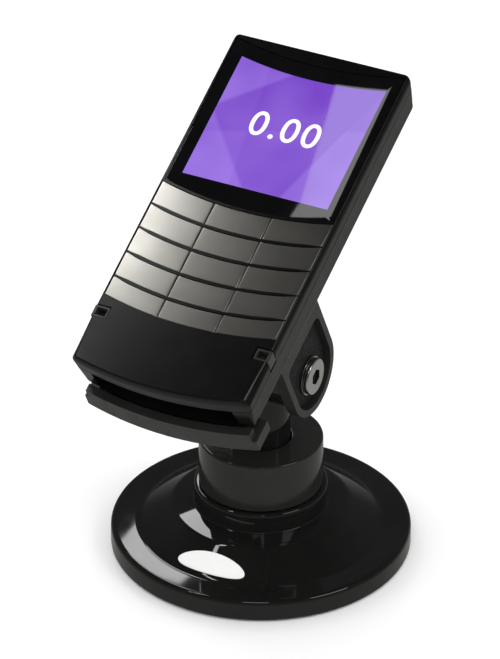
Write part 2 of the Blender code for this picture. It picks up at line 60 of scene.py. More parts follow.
# A place on the terminal is across from its middle line, down from its top end, and
# deep behind its face.
FACE_HEIGHT = 80.0      # the face above the tilt axis
TOP_END = 105.3         # the top end beyond the tilt axis
HALF_WIDTH = 40.8
END_MIDDLE = 172.1      # where the curved lower end crosses the middle line
SMILE_RADIUS = 163.0    # of every curve across the terminal and of the cradle's lip
CORNER = 3.0
LEAST_CORNER = 0.8
THICK = 22.8
SPLIT = 8.0             # how deep the two housings meet
TAPER = 0.12            # how far the housings draw in towards the split, per depth
CHIN_TOP = 140.4
CHIN_STEP = 1.5         # how much narrower the chin is on each side
KEYPAD_HALF = 39.2
KEYPAD_TOP = 82.3
KEY_ROWS = 5
KEY_COLUMNS = 3
ROW_PITCH = 12.25
LAST_ROW = 10.4
RIDGE = 1.5             # the width that the rows leave for a ridge
RIDGE_SHOWN = 1.1       # a ridge's own width, and its width at the keypad's long edges
THIN_RIDGE = 0.4
GLASS = (38.5, 7.5, 81.1)               # half its width, its top and its end
SCREEN = (-32.6, 33.8, 14.5, 71.8)      # the lit picture: left, right, top and end
ABOVE_FACE = -2.0       # where a cut into the face starts

CURVE_POINTS = 41
CORNER_POINTS = 9
OVAL_POINTS = 96
SAME_PLACE = 1e-5       # points closer than this are one
ON_AXIS = 1e-6
MOST_OF_EDGE = 0.49     # how much of an edge a rounded corner may use up

# The stand. The cone runs from the first radius and height to the second.
CONE = ((50.6, 10.3), (39.0, 17.9))
BOLT_HOLE = 4.2
WING_INNER = 20.0
WING_OUTER = 25.0
WING_RECESS = 22.2      # the floor of the sunk panel in a wing's outer face
WING_RADIUS = 18.4

CAMERA_AIM = Vector((-25.1, 38.9, 75.2))
CAMERA_DISTANCE = 2544.0
CAMERA_VIEW = (27.12, 31.5)     # azimuth and elevation
CAMERA_LENS = 327.8
CAMERA_CLIP_M = 20.0

FLOOR_SIZE_M = 16.0
FLOOR_DROP_M = 0.0002
BACKDROP = 1.03
# What gloss sees of the room, as places from straight down (0) to straight up (1).
ROOM = ((0.30, (0.31, 0.31, 0.30)), (0.56, (0.07, 0.07, 0.07)),
        (0.80, (0.07, 0.07, 0.07)), (0.93, (0.004, 0.004, 0.004)))

NOISE_LOW, NOISE_HIGH = 0.3, 0.7        # the span that a noise's values mostly keep to
SHEEN_SCALE = 2.3                       # how much finer uneven gloss is than uneven colour


# ------------------------------------------------------------------ camera and lamps

def direction(azimuth, elevation):
    """A unit vector: azimuth 0 is -Y and turns towards +X."""
    azimuth, elevation = math.radians(azimuth), math.radians(elevation)
    flat = math.cos(elevation)
    return Vector((math.sin(azimuth) * flat, -math.cos(azimuth) * flat, math.sin(elevation)))


def camera_place():
    return CAMERA_AIM + direction(*CAMERA_VIEW) * CAMERA_DISTANCE


def make_camera():
    data = bpy.data.cameras.new("camera")
    data.lens = CAMERA_LENS
    data.clip_end = CAMERA_CLIP_M
    camera = link_object("camera", data)
    camera.location = camera_place() * MM
    camera.rotation_euler = direction(*CAMERA_VIEW).to_track_quat("Z", "Y").to_euler()
    bpy.context.scene.camera = camera


def softbox(name, place, back, along, size, radiance):
    """A rectangular lamp: back points away from what it lights, along is its first side."""
    data = bpy.data.lights.new(name, "AREA")
    data.shape = "RECTANGLE"
    data.size, data.size_y = (length * MM for length in size)
    data.energy = radiance * math.pi * data.size * data.size_y
    lamp = link_object(name, data)
    z = Vector(back).normalized()
    y = z.cross(Vector(along)).normalized()
    turn = Matrix((y.cross(z), y, z)).transposed().to_4x4()
    lamp.matrix_world = Matrix.Translation(Vector(place) * MM) @ turn
    lamp.visible_camera = False


def mirrored(point, normal):
    """Where a mirror at this point sends the view of the camera."""
    view = (camera_place() - Vector(point)).normalized()
    normal = Vector(normal).normalized()
    return normal * (2 * view.dot(normal)) - view


def softbox_in_mirror(name, point, normal, along, size, away, radiance):
    """A lamp level with the flat surface at this point, which shows it there at this size."""
    grow = 1 + away / CAMERA_DISTANCE
    softbox(name, Vector(point) + mirrored(point, normal) * away, normal, along,
            (size[0] * grow, size[1] * grow), radiance)


def softbox_in_face(name, across, down, turn, size, away, radiance):
    """A lamp seen in the terminal's face, turned there by this many degrees."""
    tilt = TILTED.to_3x3()
    turn = math.radians(turn)
    softbox_in_mirror(name, TILTED @ Vector(spot(across, down, 0)), tilt @ Vector((0, 0, 1)),
                      tilt @ Vector((math.cos(turn), math.sin(turn), 0)), size, away, radiance)


def on_base(azimuth, radius, height, slope):
    """A point of the round base and the way its surface faces, sloping outwards."""
    out = direction(azimuth, 0)
    slope = math.radians(slope)
    normal = out * math.sin(slope) + Vector((0, 0, math.cos(slope)))
    return out * radius + Vector((0, 0, height)), normal


def softbox_in_ring(name, azimuth, ring, size, away, radiance):
    """A lamp seen in the base's turned surface, its first side along the ring.

    The ring is given as its radius, height and slope.
    """
    aside = 4
    point, normal = on_base(azimuth, *ring)
    near = mirrored(*on_base(azimuth - aside, *ring))
    far = mirrored(*on_base(azimuth + aside, *ring))
    back = mirrored(point, normal)
    softbox(name, point + back * away, back, far - near, size, radiance)


def make_lamps():
    """Each lamp stands where the camera finds it mirrored in one surface, as in the photo."""
    base_flat, up, across = (-26, -47, 9.8), (0, 0, 1), (1, 0, 0)
    shoulder, rim_edge = (32, 20, 9.6), (62.6, 9.2, 45)
    softbox_in_mirror("flat_light", base_flat, up, across, size=(40, 38), away=420, radiance=5.6)
    softbox_in_ring("step_light", -24, shoulder, size=(84, 30), away=300, radiance=6.3)
    softbox_in_ring("front_light", 25, rim_edge, size=(200, 160), away=800, radiance=4.0)
    softbox_in_ring("right_light", 54, rim_edge, size=(330, 200), away=800, radiance=4.0)
    softbox_in_face("glass_light", 32.728, 50.626, 9.3, size=(30, 86), away=6000, radiance=3.7)
    softbox_in_face("key_light", -47, 90, 0, size=(12, 84), away=150, radiance=11.5)
    softbox_in_face("chin_light", -50, 166, 0, size=(14, 34), away=150, radiance=9.0)


# ------------------------------------------------------------------ floor and world

def make_floor():
    bpy.ops.mesh.primitive_plane_add(size=FLOOR_SIZE_M, location=(0, 0, -FLOOR_DROP_M))
    floor = bpy.context.object
    floor.name = "floor"
    nodes, links, shader, material = new_material("floor_white", (0.94, 0.94, 0.94), 0.9)
    add_ramp(nodes, links, add_noise(nodes, links, 3.0, detail=4.0), shader.inputs["Base Color"],
             (0.98, 0.98, 0.98), (1.0, 1.0, 1.0))
    shader.inputs["Specular IOR Level"].default_value = 0.0
    floor.data.materials.append(material)
    floor.visible_glossy = False


def make_world():
    """White behind the object; its gloss sees a dark room over a grey ground."""
    world = bpy.data.worlds.new("studio")
    bpy.context.scene.world = world
    world.use_nodes = True
    world.cycles.sampling_method = "NONE"
    nodes, links = world.node_tree.nodes, world.node_tree.links
    plain = nodes["Background"]
    plain.inputs["Color"].default_value = (1, 1, 1, 1)
    plain.inputs["Strength"].default_value = BACKDROP
    room = nodes.new("ShaderNodeBackground")
    split = nodes.new("ShaderNodeSeparateXYZ")
    ramp = nodes.new("ShaderNodeValToRGB")
    stops = ramp.color_ramp.elements
    stops[0].position, stops[1].position = ROOM[0][0], ROOM[1][0]
    for place, _ in ROOM[2:]:
        stops.new(place)
    for stop, (_, colour) in zip(stops, ROOM):
        stop.color = (*colour, 1)
    halve = nodes.new("ShaderNodeMath")
    halve.operation = "MULTIPLY_ADD"
    halve.inputs[1].default_value = 0.5
    halve.inputs[2].default_value = 0.5
    where = nodes.new("ShaderNodeTexCoord")
    path = nodes.new("ShaderNodeLightPath")
    mix = nodes.new("ShaderNodeMixShader")
    links.new(where.outputs["Generated"], split.inputs[0])
    links.new(split.outputs["Z"], halve.inputs[0])
    links.new(halve.outputs[0], ramp.inputs[0])
    links.new(ramp.outputs["Color"], room.inputs["Color"])
    links.new(path.outputs["Is Glossy Ray"], mix.inputs[0])
    links.new(plain.outputs[0], mix.inputs[1])
    links.new(room.outputs[0], mix.inputs[2])
    links.new(mix.outputs[0], nodes["World Output"].inputs["Surface"])
    bpy.context.scene.view_settings.view_transform = "Standard"


# ------------------------------------------------------------------ materials

def new_material(name, colour, roughness, metallic=0.0):
    material = bpy.data.materials.new(name)
    material.use_nodes = True
    nodes, links = material.node_tree.nodes, material.node_tree.links
    shader = nodes["Principled BSDF"]
    shader.inputs["Base Color"].default_value = (*colour, 1)
    shader.inputs["Roughness"].default_value = roughness
    shader.inputs["Metallic"].default_value = metallic
    return nodes, links, shader, material


def add_noise(nodes, links, scale, detail=3.0, stretch=None):
    where = nodes.new("ShaderNodeTexCoord")
    noise = nodes.new("ShaderNodeTexNoise")
    noise.inputs["Scale"].default_value = scale
    noise.inputs["Detail"].default_value = detail
    source = where.outputs["Object"]
    if stretch:
        mapping = nodes.new("ShaderNodeMapping")
        mapping.inputs["Scale"].default_value = stretch
        links.new(source, mapping.inputs[0])
        source = mapping.outputs[0]
    links.new(source, noise.inputs["Vector"])
    return noise.outputs["Fac"]


def add_ramp(nodes, links, source, target, low, high, start=NOISE_LOW, end=NOISE_HIGH):
    ramp = nodes.new("ShaderNodeValToRGB")
    stops = ramp.color_ramp.elements
    stops[0].position, stops[1].position = start, end
    stops[0].color, stops[1].color = (*low, 1), (*high, 1)
    links.new(source, ramp.inputs[0])
    links.new(ramp.outputs[0], target)


def add_range(nodes, links, source, target, low, high):
    spread = nodes.new("ShaderNodeMapRange")
    spread.inputs["From Min"].default_value = NOISE_LOW
    spread.inputs["From Max"].default_value = NOISE_HIGH
    spread.inputs["To Min"].default_value = low
    spread.inputs["To Max"].default_value = high
    links.new(source, spread.inputs["Value"])
    links.new(spread.outputs[0], target)


def add_bump(nodes, links, source, shader, strength, distance):
    bump = nodes.new("ShaderNodeBump")
    bump.inputs["Strength"].default_value = strength
    bump.inputs["Distance"].default_value = distance * MM
    links.new(source, bump.inputs["Height"])
    links.new(bump.outputs[0], shader.inputs["Normal"])


def surface(name, dark, light, roughness, metallic=0.0, grain=900.0, bump=0.0, depth=0.02,
            cloud=60.0, stretch=None, gloss=0.5):
    """A moulded, painted or metal finish: cloudy colour, uneven gloss and a fine grain.

    The colour goes from dark to light, cloud and grain are noise scales, and bump and
    depth are the grain's strength and height. Stretch draws gloss and grain out.
    """
    nodes, links, shader, material = new_material(name, dark, roughness[0], metallic)
    colours = add_noise(nodes, links, cloud)
    add_ramp(nodes, links, colours, shader.inputs["Base Color"], dark, light)
    sheen = add_noise(nodes, links, cloud * SHEEN_SCALE, detail=5.0, stretch=stretch)
    add_range(nodes, links, sheen, shader.inputs["Roughness"], *roughness)
    if bump:
        fine = add_noise(nodes, links, grain, detail=2.0, stretch=stretch)
        add_bump(nodes, links, fine, shader, bump, depth)
    shader.inputs["Specular IOR Level"].default_value = gloss
    return material


def screen_material():
    """A lit display: a violet ground crossed by paler facets.

    A facet is a direction on the face, how far along it the edge lies, in decimetres,
    and how much lighter the picture is beyond the edge.
    """
    nodes, links, shader, material = new_material("lit_display", (0.012, 0.006, 0.024), 0.014)
    where = nodes.new("ShaderNodeUVMap")
    blur = 0.012
    facets = (((-0.655, -0.755), -0.058, 0.26), ((-0.757, 0.653), 0.509, 0.24),
              ((0.944, 0.33), 0.351, 0.26), ((0.26, 0.966), 0.40, 0.12),
              ((-0.99, 0.12), 0.20, 0.08), ((0.987, -0.161), 0.093, -0.20))
    total = add_noise(nodes, links, 30.0, detail=1.0)
    for (a, b), edge, weight in facets:
        dot = nodes.new("ShaderNodeVectorMath")
        dot.operation = "DOT_PRODUCT"
        dot.inputs[1].default_value = (a, b, 0)
        links.new(where.outputs[0], dot.inputs[0])
        step = nodes.new("ShaderNodeMapRange")
        step.interpolation_type = "SMOOTHSTEP"
        step.inputs["From Min"].default_value = edge - blur
        step.inputs["From Max"].default_value = edge + blur
        step.inputs["To Max"].default_value = weight
        links.new(dot.outputs["Value"], step.inputs["Value"])
        plus = nodes.new("ShaderNodeMath")
        links.new(total, plus.inputs[0])
        links.new(step.outputs[0], plus.inputs[1])
        total = plus.outputs[0]
    add_ramp(nodes, links, total, shader.inputs["Emission Color"],
             (0.195, 0.064, 0.60), (0.36, 0.20, 0.82), 0.45, 1.30)
    shader.inputs["Emission Strength"].default_value = 0.93
    return material


FINISH = {
    "gloss_black": surface(
        "gloss_black_plastic", (0.006, 0.006, 0.0058), (0.0085, 0.0085, 0.008), (0.03, 0.055),
        grain=1500.0, bump=0.03, depth=0.002),
    "face_black": surface(
        "face_black_plastic", (0.0012, 0.0012, 0.0011), (0.002, 0.002, 0.0018), (0.30, 0.36),
        grain=2600.0, bump=0.10, depth=0.008),
    "satin_black": surface(
        "satin_black_plastic", (0.016, 0.016, 0.015), (0.022, 0.022, 0.021), (0.30, 0.40),
        grain=2200.0, bump=0.18, depth=0.012),
    "satin_grey": surface(
        "satin_grey_plastic", (0.022, 0.022, 0.021), (0.030, 0.030, 0.028), (0.22, 0.30),
        grain=1800.0, bump=0.12, depth=0.01),
    "key_metal": surface(
        "key_silver_paint", (0.47, 0.458, 0.42), (0.55, 0.537, 0.495), (0.29, 0.33),
        metallic=1.0, grain=700.0, bump=0.05, depth=0.006, stretch=(0.12, 1, 1)),
    "glass": surface(
        "display_border", (0.003, 0.003, 0.003), (0.004, 0.004, 0.005), (0.010, 0.014),
        grain=400.0, bump=0.02, depth=0.002),
    "rubber": surface(
        "rubber", (0.018, 0.018, 0.018), (0.03, 0.03, 0.03), (0.7, 0.85),
        grain=1400.0, bump=0.4, depth=0.05),
    "steel": surface(
        "plated_steel", (0.42, 0.42, 0.41), (0.52, 0.52, 0.50), (0.28, 0.42),
        metallic=1.0, bump=0.1, stretch=(1, 1, 8)),
    "chrome": surface(
        "bright_nickel", (0.66, 0.65, 0.63), (0.74, 0.73, 0.71), (0.16, 0.24),
        metallic=1.0, grain=1200.0, bump=0.08, depth=0.01),
    "zinc_screw": surface(
        "black_zinc", (0.10, 0.10, 0.10), (0.17, 0.165, 0.16), (0.30, 0.42),
        metallic=1.0, grain=1500.0, bump=0.12),
    "circuit_board": surface(
        "solder_mask", (0.008, 0.07, 0.022), (0.02, 0.13, 0.045), (0.35, 0.5),
        grain=500.0, bump=0.2, cloud=400.0),
    "connector": surface(
        "connector_nylon", (0.014, 0.014, 0.014), (0.024, 0.024, 0.024), (0.42, 0.55),
        grain=1600.0, bump=0.2),
    "white_acetal": surface(
        "white_acetal", (0.72, 0.72, 0.69), (0.80, 0.80, 0.77), (0.35, 0.45), bump=0.1),
    "label_white": surface(
        "white_label", (0.90, 0.90, 0.89), (0.94, 0.94, 0.93), (0.30, 0.38),
        grain=1400.0, bump=0.06, depth=0.008),
    "screen": screen_material(),
    # Painted shade: a near-black, rough finish for hollows, darker than the parts round them,
    # standing in for the shade that falls inside.
    "recess_shade": surface(
        "recess_painted_shade", (0.003, 0.003, 0.003), (0.012, 0.012, 0.012), (0.5, 0.8),
        grain=1300.0, bump=0.5, depth=0.06, cloud=500.0),
    "digits": surface(
        "display_digits", (0.85, 0.83, 0.90), (0.92, 0.90, 0.96), (0.25, 0.3)),
    "collar_gloss": surface(
        "collar_gloss_plastic", (0.014, 0.014, 0.013), (0.018, 0.018, 0.017), (0.07, 0.12),
        grain=1500.0, bump=0.06, depth=0.005),
    # Painted light: the black plastic again, with a lighter base colour and less gloss, for the
    # sides and back, standing in for the grey that the light gives the sides.
    "painted_lighter_side": surface(
        "side_black_plastic_painted_lighter", (0.003, 0.003, 0.003), (0.0055, 0.0055, 0.005), (0.16, 0.26),
        grain=1900.0, bump=0.12, depth=0.01, gloss=0.14),
}


# ------------------------------------------------------------------ mesh helpers

def link_object(name, data):
    made = bpy.data.objects.new(name, data)
    bpy.context.scene.collection.objects.link(made)
    return made


def solid(name, bm, matrix=None):
    """An object from a bmesh, its faces outward."""
    bmesh.ops.remove_doubles(bm, verts=bm.verts, dist=SAME_PLACE)
    bmesh.ops.recalc_face_normals(bm, faces=bm.faces)
    mesh = bpy.data.meshes.new(name)
    bm.to_mesh(mesh)
    bm.free()
    if matrix:
        mesh.transform(matrix)
    return link_object(name, mesh)


def join_rings(bm, one, two):
    """Faces between two closed rings of equal point count."""
    for i in range(len(one)):
        j = (i + 1) % len(one)
        bm.faces.new((one[i], one[j], two[j], two[i]))


def loft(name, sections, matrix=None, even_ends=False):
    """A closed body through rings of equal point count, its two ends filled."""
    bm = bmesh.new()
    rings = [[bm.verts.new(point) for point in section] for section in sections]
    for one, two in zip(rings, rings[1:]):
        join_rings(bm, one, two)
    ends = [bm.faces.new(rings[0][::-1]), bm.faces.new(rings[-1])]
    if even_ends:
        bmesh.ops.triangulate(bm, faces=ends, ngon_method="BEAUTY")
    return solid(name, bm, matrix)


def revolve(name, profile, steps, matrix=None):
    """A closed profile of (radius, height) turned about Z."""
    bm = bmesh.new()
    turns = [math.tau * i / steps for i in range(steps)]
    rings = []
    for radius, height in profile:
        if radius < ON_AXIS:
            rings.append([bm.verts.new((0, 0, height))])
        else:
            rings.append([bm.verts.new((radius * math.cos(a), radius * math.sin(a), height))
                          for a in turns])
    for one, two in zip(rings, rings[1:] + rings[:1]):
        for i in range(steps):
            j = (i + 1) % steps
            corners = [one[i % len(one)], one[j % len(one)], two[j % len(two)], two[i % len(two)]]
            corners = list(dict.fromkeys(corners))
            if len(corners) > 2:
                bm.faces.new(corners)
    return solid(name, bm, matrix)


def rounded(points, radius, closed=False, segments=6):
    """The line with its corners eased; radius is one number or one for each corner."""
    count = len(points)
    radii = radius if isinstance(radius, (list, tuple)) else [radius] * count
    made = []
    for i, point in enumerate(points):
        here = Vector(point)
        if (not closed and i in (0, count - 1)) or radii[i] <= 0:
            made.append(tuple(here))
            continue
        before = Vector(points[i - 1]) - here
        after = Vector(points[(i + 1) % count]) - here
        reach = min(radii[i], MOST_OF_EDGE * before.length, MOST_OF_EDGE * after.length)
        first, last = here + before.normalized() * reach, here + after.normalized() * reach
        for k in range(segments + 1):
            t = k / segments
            made.append(tuple(first * (1 - t) ** 2 + here * (2 * t * (1 - t)) + last * t * t))
    return made


def arc(centre, radius, start, end, count):
    angles = [math.radians(start + (end - start) * i / (count - 1)) for i in range(count)]
    return [(centre[0] + radius * math.cos(a), centre[1] + radius * math.sin(a)) for a in angles]


def settle(target):
    """Applies the target's modifiers."""
    bpy.context.view_layer.update()
    graph = bpy.context.evaluated_depsgraph_get()
    mesh = bpy.data.meshes.new_from_object(target.evaluated_get(graph))
    target.modifiers.clear()
    target.data = mesh


def carve(target, tools, operation="DIFFERENCE"):
    """Cuts the tools from the target, or joins them to it, and drops them."""
    for tool in tools:
        step = target.modifiers.new("carve", "BOOLEAN")
        step.operation = operation
        step.solver = "EXACT"
        step.object = tool
    settle(target)
    for tool in tools:
        bpy.data.objects.remove(tool)


def soften(target, width, segments=3, angle=38.0):
    """Rounds the edges sharper than this angle."""
    step = target.modifiers.new("soften", "BEVEL")
    step.width = width
    step.segments = segments
    step.limit_method = "ANGLE"
    step.angle_limit = math.radians(angle)
    settle(target)


def finish_piece(piece, body, nodes, finishes, sharp=32.0):
    """Scales a piece to metres, paints it, parents it to its body and hides the nodes it
    replaces.
    """
    piece.data.transform(Matrix.Scale(MM, 4))
    piece.data.materials.clear()
    for finish in finishes:
        piece.data.materials.append(FINISH[finish])
    piece.data.shade_smooth()
    piece.data.set_sharp_from_angle(angle=math.radians(sharp))
    step = piece.modifiers.new("even", "WEIGHTED_NORMAL")
    step.keep_sharp = True
    settle(piece)
    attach(piece, body)
    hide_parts(*nodes)


def paint_faces(piece, chosen):
    """Gives a finished piece's chosen faces its second finish."""
    for face in piece.data.polygons:
        if chosen(face):
            face.material_index = 1


def spot(across, down, deep):
    """A place on the terminal, in the tilting frame."""
    return (across, TOP_END - down, FACE_HEIGHT - deep)


def slab(name, outline, deep_from, deep_to):
    """A body with an (across, down) outline, between two depths."""
    sections = [[spot(s, d, deep) for s, d in outline] for deep in (deep_to, deep_from)]
    return loft(name, sections, TILTED)


def brick(name, across, down, deep):
    """A block level with the terminal's face."""
    bm = bmesh.new()
    bmesh.ops.create_cube(bm, size=1.0)
    low = Vector(spot(across[0], down[1], deep[1]))
    high = Vector(spot(across[1], down[0], deep[0]))
    size = Matrix.Diagonal((*(high - low), 1))
    bm.transform(Matrix.Translation((low + high) / 2) @ size)
    return solid(name, bm, TILTED)


def smile(across, middle):
    """How far down the curve that crosses the middle line here has come."""
    return middle - SMILE_RADIUS + math.sqrt(SMILE_RADIUS ** 2 - across ** 2)


def smile_line(start, end, middle, count):
    places = [start + (end - start) * i / (count - 1) for i in range(count)]
    return [(s, smile(s, middle)) for s in places]


def bolt_bore(reach, steps):
    """The tilt bolt's hole as a tool, this long to each side."""
    outline = [(0, -reach), (BOLT_HOLE, -reach), (BOLT_HOLE, reach), (0, reach)]
    return revolve("bore", outline, steps, AT_PIVOT @ AROUND_X)


# ------------------------------------------------------------------ base

def make_base():
    skin = [(61.1, 0.8), (63.5, 0.8), (63.5, 9.8), (51.4, 9.8), (37.4, 18.95), (28.2, 20.5),
            (28.2, 29.6), (0.0, 29.6)]
    ease = [0, 0.3, 2.4, 1.8, 1.3, 0.7, 1.5, 0]
    hollow = [(0.0, 26.2), (25.6, 26.2), (25.6, 17.4), (35.0, 17.4), (37.6, 15.8), (49.6, 7.4),
              (61.1, 7.4)]
    cover = revolve("base_shell", rounded(skin, ease, segments=7) + hollow, steps=192)
    finish_piece(cover, "base", ["base_cover"], ["gloss_black"], sharp=40)

    grooves = []
    wide, narrow, deep = 1.2, 0.9, 0.5
    for radius in (56.0, 48.0, 40.0, 32.0, 24.0):
        grooves += [(radius + wide, 0.0), (radius + narrow, deep),
                    (radius - narrow, deep), (radius - wide, 0.0)]
    pad = [(0.0, 2.0), (60.4, 2.0), (60.4, 0.7), (59.8, 0.0)] + grooves + [(0.0, 0.0)]
    foot = revolve("foot_ring", pad, steps=128)
    finish_piece(foot, "base", ["foot_pad"], ["rubber"])


def make_badge():
    """A thin oval plate following the cone, with a rolled edge."""
    (r_out, z_out), (r_in, z_in) = CONE
    slope = math.atan2(z_in - z_out, r_out - r_in)
    rise = math.tan(slope)
    half_long, half_short, middle = 15.4, 4.95, -45.4

    def on_cone(x, y, lift):
        radius = math.hypot(x, y)
        height = z_out + (r_out - radius) * rise
        out = lift * math.sin(slope) / radius
        return (x + x * out, y + y * out, height + lift * math.cos(slope))

    # Each ring is a share of the oval and its height above the cone.
    rings = ((0.25, 0.66), (0.55, 0.66), (0.82, 0.65), (0.93, 0.62), (0.98, 0.52),
             (1.0, 0.36), (1.0, 0.22))
    bm = bmesh.new()
    made = []
    for share, lift in rings:
        ring = []
        for i in range(OVAL_POINTS):
            a = math.tau * i / OVAL_POINTS
            x = half_long * share * math.cos(a)
            y = middle + half_short * math.cos(slope) * share * math.sin(a)
            ring.append(bm.verts.new(on_cone(x, y, lift)))
        made.append(ring)
    for one, two in zip(made, made[1:]):
        join_rings(bm, one, two)
    bm.faces.new(made[0])
    bm.faces.new(made[-1][::-1])
    finish_piece(solid("badge_plate", bm), "base", ["badge"], ["label_white"])


def make_collar():
    outer = [(19.6, 29.9), (26.2, 29.9), (26.2, 52.0), (12.8, 52.0), (12.8, 47.0), (19.6, 47.0)]
    ring = rounded(outer, [0, 0.8, 1.1, 0.7, 0.2, 0.2], closed=True, segments=5)
    sleeve = revolve("collar_sleeve", ring, steps=160)
    finish_piece(sleeve, "base", ["collar"], ["collar_gloss"], sharp=40)


def make_stem():
    """The neck: a flange and post, a cross barrel on top, and the bolt's hole through it."""
    post_top = PIVOT_Z - 4.0
    post = [(0.0, 39.5), (18.5, 39.5), (18.5, 45.0), (12.5, 45.0), (12.5, post_top),
            (0.0, post_top)]
    stem = revolve("swivel_stem", rounded(post, [0, 0.5, 0.5, 0.8, 0.3, 0]), steps=96)
    drum = rounded([(0, -18.6), (15, -18.6), (15, 18.6), (0, 18.6)], [0, 1.0, 1.0, 0])
    carve(stem, [revolve("barrel", drum, 96, AT_PIVOT @ AROUND_X)], "UNION")
    carve(stem, [bolt_bore(30, steps=32)])
    finish_piece(stem, "swivel", ["swivel_head"], ["gloss_black"], sharp=40)


# ------------------------------------------------------------------ yoke and cradle

def wing_line(inset, root, corner):
    """The wing from the side: a round end, two long edges and a top."""
    radius = WING_RADIUS - inset
    foot = arc((0.0, 1.5), radius, 0.0, -180.0, CURVE_POINTS)
    left = arc((corner - radius, root - corner), corner, 180.0, 90.0, CORNER_POINTS)
    right = arc((radius - corner, root - corner), corner, 90.0, 0.0, CORNER_POINTS)
    return foot + left + right


def plate(name, outline, x_from, x_to):
    """A plate square to X in the tilting frame."""
    return loft(name, [[(x, y, z) for y, z in outline] for x in (x_from, x_to)], TILTED)


def make_yoke():
    yoke = brick("yoke_bracket", (-WING_OUTER, WING_OUTER), (86.3, 128.8), (27.5, 31.0))
    outline = wing_line(0.0, FACE_HEIGHT - 28.5, 2.0)
    for sign in (1.0, -1.0):
        carve(yoke, [plate("wing", outline, sign * WING_INNER, sign * WING_OUTER)], "UNION")
    sunk = wing_line(3.1, 24.7, 4.0)
    panels = [plate("panel", sunk, sign * WING_RECESS, sign * (WING_OUTER + 3.0))
              for sign in (1.0, -1.0)]
    carve(yoke, panels + [bolt_bore(40, steps=40)])
    soften(yoke, 0.55)
    finish_piece(yoke, "cradle", ["tilt_yoke"], ["satin_black", "recess_shade"])
    # Painted shade: the sunk panels' floors take the near-black hollow finish.
    paint_faces(yoke, lambda face: abs(face.normal.x) > 0.9
                and abs(abs(face.center.x) / MM - WING_RECESS) < 0.05)


def make_cradle():
    """The tray, its ribs, its curved lip and the low wall at the lip's edge."""
    half, top, end = 33.5, 80.0, 166.0
    rib, rib_deep = 3.0, (26.7, 29.8)
    lip_half, wall_half, wall_inner, lip_end = 39.2, 37.4, 169.9, 173.6
    tray = brick("cradle_plate", (-half, half), (top, end), (24.2, 27.2))
    lip = [(-lip_half, 158.0), (lip_half, 158.0)]
    lip += smile_line(lip_half, -lip_half, lip_end, CURVE_POINTS)
    wall = smile_line(-wall_half, wall_half, wall_inner, CURVE_POINTS)
    wall += smile_line(wall_half, -wall_half, lip_end, CURVE_POINTS)
    parts = [slab("lip", lip, 26.8, 33.0), slab("wall", wall, 21.7, 27.8),
             brick("rib", (half - rib, half), (top, end), rib_deep),
             brick("rib", (-half, rib - half), (top, end), rib_deep),
             brick("rib", (-half, half), (top, top + rib), rib_deep)]
    carve(tray, parts, "UNION")
    soften(tray, 0.5, angle=50.0)
    finish_piece(tray, "cradle", ["cradle_tray"], ["satin_black"])


def x_turned(name, profile, steps=72):
    """A part turned about the tilt axis: the profile is (radius, place along X)."""
    return revolve(name, profile, steps, TILTED @ AROUND_X)


def hex_prism(name, radius, x_from, x_to):
    angles = [math.radians(60 * i) for i in range(6)]
    outline = [(radius * math.cos(a), radius * math.sin(a)) for a in angles]
    return plate(name, outline, x_from, x_to)


def make_bolt():
    """The tilt bolt with its hexagon socket, its chamfered nut and two washers."""
    shank, head, head_low, head_top = 3.9, 8.0, 23.6, 25.6
    socket, socket_floor = 3.6, 24.1
    outline = [(0, -29.8), (shank, -29.8), (shank, head_low), (head, head_low),
               (head, head_top), (0, head_top)]
    bolt = x_turned("tilt_bolt_turned", rounded(outline, [0, 0.5, 0.2, 0.3, 1.2, 0]))
    carve(bolt, [hex_prism("socket", socket, socket_floor, 30.0)])
    finish_piece(bolt, "cradle", ["tilt_bolt"], ["chrome", "recess_shade"])
    pivot = Vector((0, 0, PIVOT_Z * MM))

    def in_socket(face):
        away = face.center - pivot
        off_axis = Vector((0, away.y, away.z)).length
        return away.x > (socket_floor - 0.2) * MM and off_axis < (socket + 0.05) * MM

    # Painted shade: the socket's inside takes the near-black hollow finish, not chrome.
    paint_faces(bolt, in_socket)

    nut = hex_prism("tilt_nut_cut", 7.4, -28.8, -23.6)
    chamfer = [(0, -29.0), (6.2, -29.0), (7.6, -28.0), (7.6, -24.4), (6.2, -23.4), (0, -23.4)]
    thread = [(0, -40.0), (BOLT_HOLE, -40.0), (BOLT_HOLE, 0.0), (0, 0.0)]
    carve(nut, [x_turned("chamfer", chamfer)], "INTERSECT")
    carve(nut, [x_turned("thread", thread, steps=48)])
    finish_piece(nut, "cradle", ["tilt_nut"], ["chrome"])

    washer_rim = 8.5
    for side, sign in (("left", -1.0), ("right", 1.0)):
        low, high = sorted((sign * 22.5, sign * 23.3))
        ring = [(BOLT_HOLE, low), (washer_rim, low), (washer_rim, high), (BOLT_HOLE, high)]
        ring = rounded(ring, 0.2, closed=True, segments=3)
        washer = x_turned(f"washer_{side}", ring, steps=96)
        finish_piece(washer, "cradle", [f"tilt_washer_{side}"], ["chrome"])


# ------------------------------------------------------------------ terminal

